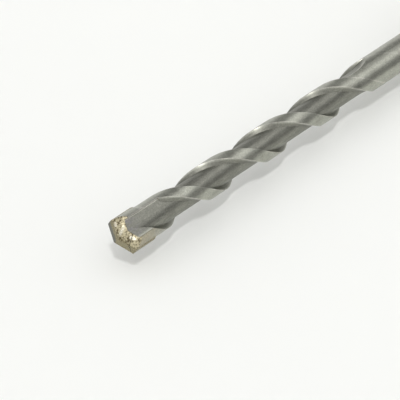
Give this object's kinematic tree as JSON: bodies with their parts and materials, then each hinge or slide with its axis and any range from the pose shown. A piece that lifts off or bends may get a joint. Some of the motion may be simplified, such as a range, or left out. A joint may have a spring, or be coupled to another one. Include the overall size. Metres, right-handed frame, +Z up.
{
  "type": "masonry hammer drill bit",
  "caption": "Spiral masonry drill bit with a brazed carbide plate across its tip and a grooved quick-change shank, standing on its shank with the tip up.",
  "frame": {"origin": "centre of the struck end face of the shank, on the bit's axis, which is the face that the bit stands on", "axes": "+Z up, along the bit's axis from the shank towards the tip; Y along the carbide plate, across the tip"},
  "size_m": [0.01, 0.01, 0.11],
  "materials": {
    "steel": "satin, blasted and slightly worn",
    "carbide": "dull grey, ground",
    "braze": "rough, beaded filler metal"
  },
  "bodies": {
    "root": {"drill_body": "steel", "carbide_insert": "carbide", "braze_filler": "braze"}
  },
  "joints": []
}
